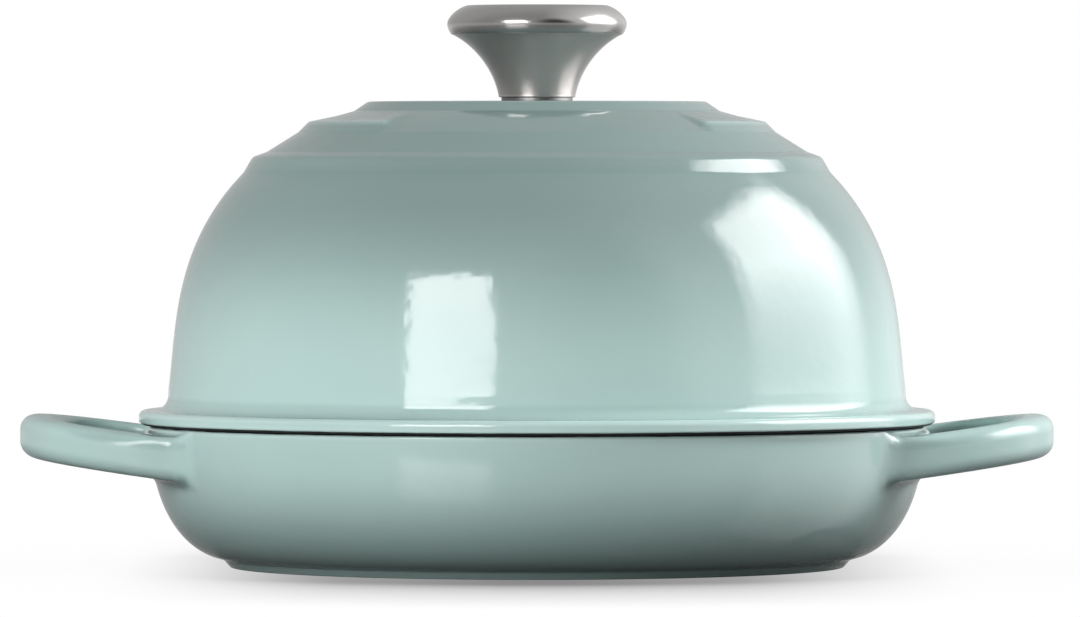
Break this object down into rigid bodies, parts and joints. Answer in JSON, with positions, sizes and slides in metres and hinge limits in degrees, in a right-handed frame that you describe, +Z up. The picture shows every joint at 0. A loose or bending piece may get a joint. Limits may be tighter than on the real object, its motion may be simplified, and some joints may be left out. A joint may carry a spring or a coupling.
{
  "type": "cast iron bread oven",
  "caption": "Round enamelled cast iron bread oven: shallow dish with two loop handles under a tall stepped dome lid with a flared steel knob.",
  "frame": {"origin": "centre of the dish's foot, at the level of the table it stands on", "axes": "+X along the two handles, +Z up through the knob; the pictured side faces -Y"},
  "size_m": [0.3244, 0.2496, 0.1762],
  "materials": {
    "base_enamel": "glossy grey-green glass enamel outside, satin black enamel inside, matte black rim",
    "lid_enamel": "glossy grey-green glass enamel outside, satin black enamel inside, matte black rim",
    "brushed_steel": "satin stainless steel, finely turned",
    "plated_steel": "plain bright steel"
  },
  "bodies": {
    "base": {"base": "base_enamel"},
    "lid_carrier": {"flat_washer": "plated_steel"},
    "lid": {"lid": "lid_enamel", "knob_seat_ring": "plated_steel", "knob_stem": "brushed_steel", "knob_cap": "brushed_steel", "knob_insert": "plated_steel", "knob_screw": "plated_steel", "spring_washer": "plated_steel"}
  },
  "joints": [
    {"name": "lid_lift", "type": "slide", "parent": "base", "child": "lid_carrier", "axis": [0, 0, 1], "range_m": [0, 0.15]},
    {"name": "lid_turn", "type": "hinge", "parent": "lid_carrier", "child": "lid", "pos_m": [0, 0, 0.044], "axis": [0, 0, 1], "continuous": true}
  ]
}
